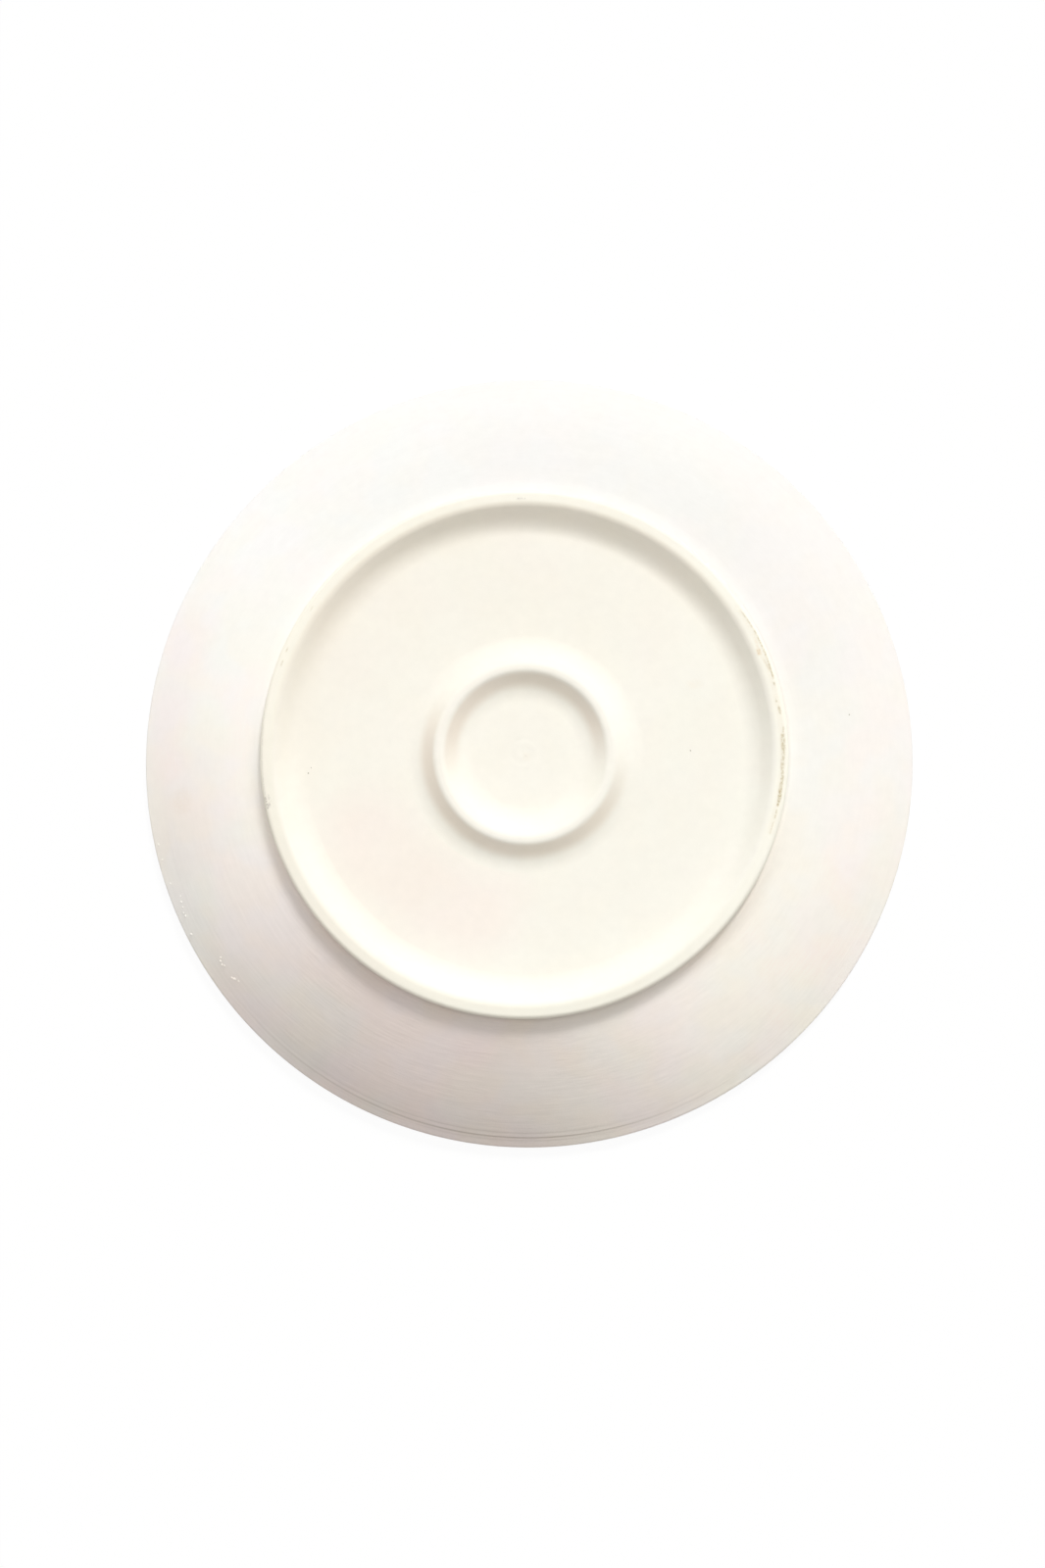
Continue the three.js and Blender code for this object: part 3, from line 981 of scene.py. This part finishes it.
def flank(crest_edge, side, floor, crest_round, slope, hollow_radius):
    """Rounded crest, straight flank and hollow, down to a toe on the floor, with no corner between them.

    side is -1 for a flank that faces the axis and +1 for one that faces away from it.
    """
    radius, level = crest_edge
    slopes = np.linspace(0, slope, steps_for(crest_round * slope, spacing=0.25 * MM))
    crest = np.column_stack([radius + side * crest_round * np.sin(slopes),
                             level - crest_round * (1 - np.cos(slopes))])
    fall = crest[-1, 1] - floor - hollow_radius * (1 - math.cos(slope))
    hollow_start = crest[-1, 0] + side * fall / math.tan(slope)
    toe_radius = hollow_start + side * hollow_radius * math.sin(slope)
    slopes = np.linspace(slope, 0, steps_for(hollow_radius * slope, spacing=0.5 * MM))
    hollow = np.column_stack([toe_radius - side * hollow_radius * np.sin(slopes),
                              floor + hollow_radius * (1 - np.cos(slopes))])
    face = straight(crest[-1], hollow[0], spacing=0.4 * MM)
    toe = np.array([(toe_radius + side * toe_length, floor - toe_end_dip),
                    (toe_radius + side * toe_length, floor - ring_root)])
    return np.vstack([crest, face, hollow, toe])


# %% Foot ring and centre ring
foot_crest_width = 2.1 * MM
foot_outer_round = 1.9 * MM
foot_inner_round = 4.0 * MM
foot_flank_slope = math.radians(42)
foot_hollow_radius = 11 * MM
foot_root = 1.5 * MM
centre_radius = 33.05 * MM
centre_crown_width = 0.7 * MM
centre_crown_round = 2.8 * MM
centre_flank_slope = math.radians(36)
centre_hollow_radius = 14 * MM


def foot_ring_stretches():
    edge_radius = foot_radius - foot_outer_round
    edge_level = foot_crest_level - foot_outer_round
    crest_inner = edge_radius - foot_crest_width
    inner = flank((crest_inner, foot_crest_level), -1, underside_level - toe_dip, foot_inner_round,
                  foot_flank_slope, foot_hollow_radius)
    bottom = np.array([inner[-1], (foot_radius, shoulder_level - foot_root)])
    crest = straight((edge_radius, foot_crest_level), (crest_inner, foot_crest_level), spacing=0.25 * MM)
    return [
        (bottom, 0, 0),
        (straight(bottom[-1], (foot_radius, edge_level), spacing=0.4 * MM), 0.3, 0),
        (arc((edge_radius, edge_level), foot_outer_round, 0, quarter, spacing=0.22 * MM), 0.3, 0),
        (crest, 0.3, 0),
        (inner, 0.25, 0),
    ]


def centre_ring_stretches():
    floor = underside_level - toe_dip
    inner_edge = (centre_radius - centre_crown_width / 2, centre_crest_level)
    outer_edge = (centre_radius + centre_crown_width / 2, centre_crest_level)
    inner = flank(inner_edge, -1, floor, centre_crown_round, centre_flank_slope, centre_hollow_radius)
    outer = flank(outer_edge, 1, floor, centre_crown_round, centre_flank_slope, centre_hollow_radius)
    return [(inner[-1:], 0, 0), (outer[::-1], 0.25, 0), (inner, 0.25, 0)]


foot_section = make_section("foot_section", foot_ring_stretches())
foot_ring = run_tree(foot_section, wheel, "turned_foot_ring", {**wheel_settings, "Steps Round": 900})
centre_section = make_section("centre_section", centre_ring_stretches())
centre_ring = run_tree(centre_section, wheel, "turned_centre_ring", {
    **wheel_settings, "Steps Round": 480, "Off Centre": (0, 0, 0)})
print_volume(foot_ring)
print_volume(centre_ring)

# %% [markdown]
# ## Marks of use
# The crest has stood on shelves and tables, so it carries a brown scuff on one side, a rusty spot, a
# few nicks and a fine worn line. A mark is a stroke that follows the turn of the wheel, written as
# where it starts and ends, in degrees and millimetres from the ring's centre. Each point of the mesh
# is told how much of it lies under a stroke, as an attribute, and the finish mixes its own brown in
# by that share and breaks it up with a noise. A painted picture could hold the same marks, but these
# few numbers stay readable and follow the ring when its size changes.

# %% Paint strokes on the mesh
soft_edge = 1.5
least_counted = 0.05


def cover(mesh, centre, start_degrees, start_mm, end_degrees, end_mm, half_width_mm):
    """The share of each point that lies under one stroke."""
    points = np.empty(len(mesh.vertices) * 3)
    mesh.vertices.foreach_get("co", points)
    across = points.reshape(-1, 3)[:, :2] - np.array(centre[:2])
    radius = np.linalg.norm(across, axis=1)
    angle = np.arctan2(across[:, 1], across[:, 0])
    half_turn = math.radians(end_degrees - start_degrees) / 2
    away = angle - math.radians(start_degrees) - half_turn
    away = (away + math.pi) % math.tau - math.pi
    held = np.clip(away, -abs(half_turn), abs(half_turn))
    share = 0.5 if half_turn == 0 else 0.5 + held / (2 * half_turn)
    track = (start_mm + (end_mm - start_mm) * share) * MM
    distance = np.hypot((away - held) * radius, radius - track)
    return np.clip(soft_edge - distance / (half_width_mm * MM), 0, 1)


def paint(piece, name, centre, strokes):
    """Stores the strongest stroke over each point."""
    share = np.zeros(len(piece.data.vertices))
    for *place, strength in strokes:
        share = np.maximum(share, strength * cover(piece.data, centre, *place))
    piece.data.attributes.new(name, "FLOAT", "POINT").data.foreach_set("value", share)
    print(piece.name, name, "covers", int((share > least_counted).sum()), "points")


# %% [markdown]
# ## Strokes on the foot ring and the body
# Each line of a list holds strokes of six numbers: start in degrees and millimetres, end in degrees
# and millimetres, half of the width in millimetres, and the strength. Degrees run anticlockwise
# from the right of the picture. They were measured one by one, because a real scuff has no rule.

# %% Strokes
scuff_strokes = (
    (32.7, 99.1, 27.7, 99.6, 0.28, 0.45), (27.7, 99.6, 22.4, 99.6, 0.32, 0.55),
    (22.4, 99.6, 16.4, 99.3, 0.32, 0.6), (20.9, 98.2, 18.4, 98.9, 0.35, 0.25),
    (15.1, 99.0, 15.0, 99.0, 0.40, 0.5), (11.4, 98.2, 11.3, 98.2, 0.35, 0.6),
    (9.7, 98.7, 8.6, 98.8, 0.45, 0.6), (5.3, 99.4, 3.4, 98.8, 0.35, 0.5),
    (3.4, 98.8, 0.5, 98.8, 0.75, 0.6), (0.5, 98.8, -3.6, 98.5, 0.65, 0.5),
    (-3.6, 98.5, -5.6, 98.8, 0.55, 0.45), (-5.6, 98.8, -8.5, 98.6, 0.55, 0.6),
    (-8.5, 98.6, -10.6, 98.8, 0.60, 0.85), (-10.6, 98.8, -11.9, 98.6, 0.45, 0.8),
    (-13.2, 98.7, -15.0, 98.6, 0.32, 0.4), (-15.8, 98.5, -18.5, 98.4, 0.28, 0.25),
    (160.2, 98.8, 159.0, 98.8, 0.28, 0.35), (156.8, 99.0, 156.0, 99.0, 0.25, 0.35),
    (146.2, 98.4, 145.2, 98.6, 0.25, 0.3))
rusty_strokes = (
    (27.2, 99.0, 23.8, 97.9, 0.55, 0.2), (23.3, 97.7, 22.6, 97.6, 0.75, 0.6),
    (21.5, 98.1, 18.2, 98.9, 0.60, 0.15), (34.0, 98.8, -18.0, 98.4, 1.10, 0.09))
nicks_and_worn_line = (
    (-168.0, 99.9, -184.0, 100.1, 0.22, 0.16), (-184.0, 100.1, -194.0, 101.0, 0.22, 0.14),
    (-169.8, 100.1, -169.2, 99.9, 0.42, 0.7), (-170.2, 98.7, -169.3, 98.5, 0.36, 0.5),
    (-168.4, 99.8, -167.6, 99.6, 0.42, 0.8), (-168.6, 98.9, -168.0, 98.8, 0.32, 0.45),
    (91.3, 97.9, 89.6, 98.0, 0.30, 0.35))
blushes = (
    (-200.0, 142.0, -176.0, 140.0, 10.0, 0.6), (-176.0, 134.0, -166.0, 136.0, 16.0, 0.9),
    (-100.0, 116.0, -84.0, 114.0, 8.0, 0.4), (-32.0, 132.0, -22.0, 134.0, 9.0, 0.35),
    (-152.0, 68.0, -108.0, 64.0, 17.0, 1.0))
centre_speck = ((-77.0, 0.9, -70.0, 0.9, 0.30, 0.16),)
rusty_floor = (
    (-77.0, 0.9, -60.0, 1.3, 1.8, 0.06), (22.4, 70.2, 22.0, 70.4, 1.6, 0.10),
    (-173.0, 136.3, -172.4, 136.4, 4.0, 0.10))
on_axis = (0, 0)

paint(foot_ring, "scuff", foot_off_centre, scuff_strokes)
paint(foot_ring, "rust", foot_off_centre, rusty_strokes)
paint(foot_ring, "dirt", foot_off_centre, nicks_and_worn_line)
paint(plate_body, "blush", on_axis, blushes)
paint(plate_body, "iron", on_axis, centre_speck)
paint(plate_body, "rust", on_axis, rusty_floor)

# %% [markdown]
# ## Crumbs of clay
# A few crumbs that fell on the soft clay were fired on: some near the rim at the left, two short
# hooks of them below, and four dark iron specks. Each crumb is one small lump that Geometry Nodes
# place on a point, turned and stretched by a fixed seed, so all the lumps share one tree. They
# could be placed by hand, but the points are measured on the body by a ray from above, so that each
# crumb sits in the surface wherever that surface is.

# %% A tree that drops crumbs
crumb_inputs = {"Roughness Of Shape": "Float", "Sink": "Float", "Seed": "Int", "Finish": "Material"}
least_stretch, most_stretch = (0.8, 0.6, 0.35), (1.3, 0.9, 0.6)


def random_vector(tree, low, high, seed):
    feeds = {"Min": low, "Max": high, "Seed": seed}
    return put(tree, "FunctionNodeRandomValue", feeds, data_type="FLOAT_VECTOR").outputs[0]


def build_crumbler():
    tree, given = begin_tree("clay_crumbler", crumb_inputs)
    lump = put(tree, "GeometryNodeMeshIcoSphere", {"Radius": 1.0, "Subdivisions": 3}).outputs["Mesh"]
    normal = put(tree, "GeometryNodeInputNormal").outputs[0]
    bumps = put(tree, "ShaderNodeTexNoise", {"Scale": 1.3, "Detail": 2.0}).outputs[0]
    bumps = product(tree, maths(tree, "SUBTRACT", bumps, 0.5), given["Roughness Of Shape"])
    lump = shift(tree, lump, scaled(tree, normal, bumps))
    turn = random_vector(tree, (0, 0, 0), (0, 0, math.tau), given["Seed"])
    stretch = random_vector(tree, least_stretch, most_stretch, given["Seed"])
    size = named_value(tree, "size")
    down = put(tree, "ShaderNodeCombineXYZ", {"Z": product(tree, size, given["Sink"])}).outputs[0]
    points = shift(tree, given["Geometry"], down)
    crumbs = put(tree, "GeometryNodeInstanceOnPoints", {
        "Points": points, "Instance": lump, "Rotation": turn, "Scale": scaled(tree, stretch, size)})
    end_tree(tree, crumbs.outputs[0], given["Finish"])
    return tree


crumbler = build_crumbler()
print("the crumbler has", len(crumbler.nodes), "nodes")

# %% [markdown]
# ## Where the crumbs lie
# Each crumb is written as its angle in degrees, its distance from the axis and half of its size in
# millimetres, and how much iron it holds. The crumbs also carry the underside attribute, but only in
# part, so that they are a little paler than the wall that they stuck to. Scattering them at random
# would be shorter, but the eye knows the two hooks.

# %% Crumbs on the body
crumb_places = (
    (-166.8, 150.0, 0.60, 0), (-164.4, 149.9, 0.50, 0), (-160.6, 149.6, 0.40, 0), (-155.1, 148.4, 0.60, 0),
    (-152.2, 149.6, 0.55, 0), (-158.2, 147.0, 0.40, 0), (-157.3, 147.6, 0.42, 0), (-156.5, 148.0, 0.38, 0),
    (-155.6, 148.7, 0.40, 0), (-146.7, 143.2, 0.50, 0), (-146.3, 144.2, 0.60, 0), (-145.7, 144.6, 0.50, 0),
    (-145.3, 143.8, 0.45, 0), (-143.1, 144.2, 0.50, 0), (-142.7, 143.5, 0.60, 0), (-142.0, 142.8, 0.50, 0),
    (-175.0, 84.1, 0.30, 1), (-176.4, 82.9, 0.18, 1), (1.0, 63.4, 0.26, 1), (7.0, 126.0, 0.24, 1))
crumb_underside_share = 0.6


def surface_under(piece, degrees, distance):
    """The point of a piece that a ray from above meets."""
    angle = math.radians(degrees)
    above = Vector((math.cos(angle) * distance, math.sin(angle) * distance, 2 * foot_crest_level))
    hit, surface, *_ = piece.ray_cast(above, Vector((0, 0, -1)))
    assert hit, "a crumb missed the plate"
    return surface


def crumb_points(piece, places):
    """A point on the piece's surface under each place, with what its crumb should be."""
    mesh = bpy.data.meshes.new("crumb_points")
    mesh.from_pydata([surface_under(piece, place[0], place[1] * MM) for place in places], [], [])
    values = {"size": [place[2] * MM for place in places],
              "iron": [place[3] for place in places],
              "underside": [crumb_underside_share] * len(places)}
    for label, shares in values.items():
        mesh.attributes.new(label, "FLOAT", "POINT").data.foreach_set("value", shares)
    points = bpy.data.objects.new("crumb_points", mesh)
    bpy.context.scene.collection.objects.link(points)
    return points


crumbs = run_tree(crumb_points(plate_body, crumb_places), crumbler, "clay_crumbs", {
    "Roughness Of Shape": 1.0, "Sink": -0.12, "Seed": 5, "Finish": turned_bisque})
print("clay_crumbs:", len(crumbs.data.polygons), "faces")

# %% [markdown]
# ## Hand over to the frame
# Each piece rides on the plate's one body and takes the place of its node of the construction
# model, whose own part is hidden. The table also lists the material slot of each piece.

# %% Ride and replace
finished_pieces = (
    (plate_body, "plate_body", "turned_bisque"), (foot_ring, "foot_ring", "foot_bisque"),
    (centre_ring, "centre_ring", "foot_bisque"), (crumbs, "plate_body", "turned_bisque"))
for piece, node, slot in finished_pieces:
    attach(piece, "root")
    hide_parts(node)
